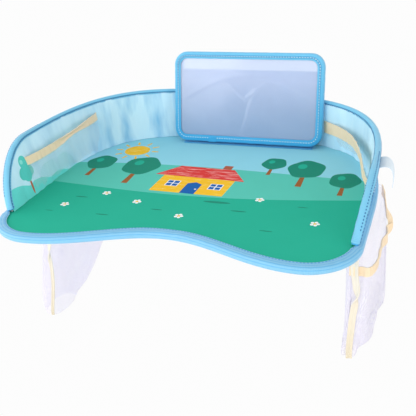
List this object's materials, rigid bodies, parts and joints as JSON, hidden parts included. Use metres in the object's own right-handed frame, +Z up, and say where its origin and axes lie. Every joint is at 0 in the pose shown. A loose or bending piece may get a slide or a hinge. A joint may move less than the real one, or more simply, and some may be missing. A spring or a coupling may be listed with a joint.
{
  "type": "car seat tray table",
  "caption": "Soft walled play tray for a child car seat, with printed top, belly cut-out, folding tablet holder, inner pockets, hanging net bags and a buckled seat strap.",
  "frame": {"origin": "middle of the flat underside of the tray's bottom cover", "axes": "+X to the right as the seated child sees it, +Y away from the child to the back wall, +Z up"},
  "size_m": [0.4377, 0.3414, 0.2842],
  "materials": {
    "print_cloth": "printed smooth polyester cloth",
    "light_blue_cloth": "fine woven light blue cloth",
    "binding_blue": "ribbed blue binding tape, stitched",
    "board": "stiff hollow plastic sheet",
    "foam": "soft foam sheet",
    "wire": "spring steel wire",
    "net": "fine white net",
    "beige_elastic": "woven beige elastic tape",
    "clear_film": "clear soft film",
    "hook_tape": "hook and loop tape",
    "webbing": "blue polypropylene webbing",
    "buckle_plastic": "moulded blue plastic"
  },
  "bodies": {
    "tray": {"base_binding": "binding_blue", "board_core": "board", "bottom_cover": "light_blue_cloth", "buckle_plug": "buckle_plastic", "buckle_socket": "buckle_plastic", "hinge_tape": "binding_blue", "inner_pocket_elastic_left": "beige_elastic", "inner_pocket_elastic_right": "beige_elastic", "inner_pocket_net_left": "net", "inner_pocket_net_right": "net", "loop_tab_left": "hook_tape", "loop_tab_right": "hook_tape", "printed_top_sheet": "print_cloth", "rim_binding": "binding_blue", "rim_wire": "wire", "seat_strap_left": "webbing", "seat_strap_right": "webbing", "strap_patch_left": "light_blue_cloth", "strap_patch_right": "light_blue_cloth", "wall_cover": "light_blue_cloth", "wall_foam": "foam", "wall_lining": "light_blue_cloth"},
    "holder": {"holder_back_panel": "light_blue_cloth", "holder_binding": "binding_blue", "holder_window": "clear_film", "hook_pad_left": "hook_tape", "hook_pad_right": "hook_tape"},
    "bag_right": {"bag_net_right": "net", "bag_elastic_right": "beige_elastic", "bag_edge_tape_right": "beige_elastic"},
    "bag_left": {"bag_net_left": "net", "bag_elastic_left": "beige_elastic", "bag_edge_tape_left": "beige_elastic"},
    "prong_upper": {"buckle_prong_upper": "buckle_plastic"},
    "prong_lower": {"buckle_prong_lower": "buckle_plastic"},
    "keeper": {"strap_keeper": "buckle_plastic"}
  },
  "joints": [
    {"name": "holder_fold", "type": "hinge", "parent": "tray", "child": "holder", "pos_m": [0.0145, 0.125, 0.00899], "axis": [1, 0, 0], "range_deg": [0, 100]},
    {"name": "bag_right_swing", "type": "hinge", "parent": "tray", "child": "bag_right", "pos_m": [0.172, 0, -0.0014], "axis": [0, 1, 0], "range_deg": [0, 80]},
    {"name": "bag_left_swing", "type": "hinge", "parent": "tray", "child": "bag_left", "pos_m": [-0.172, 0, -0.0014], "axis": [0, -1, 0], "range_deg": [0, 80]},
    {"name": "prong_upper_squeeze", "type": "hinge", "parent": "tray", "child": "prong_upper", "pos_m": [0.01275, 0.17048, 0.04395], "axis": [0, -0.9874, 0.158], "range_deg": [0, 12], "stiffness_Nm_per_rad": 0.4},
    {"name": "prong_lower_squeeze", "type": "hinge", "parent": "tray", "child": "prong_lower", "pos_m": [0.01275, 0.16804, 0.02865], "axis": [0, 0.9874, -0.158], "range_deg": [0, 12], "stiffness_Nm_per_rad": 0.4},
    {"name": "keeper_slide", "type": "slide", "parent": "tray", "child": "keeper", "axis": [1, 0, 0], "range_m": [-0.02, 0.02]}
  ]
}
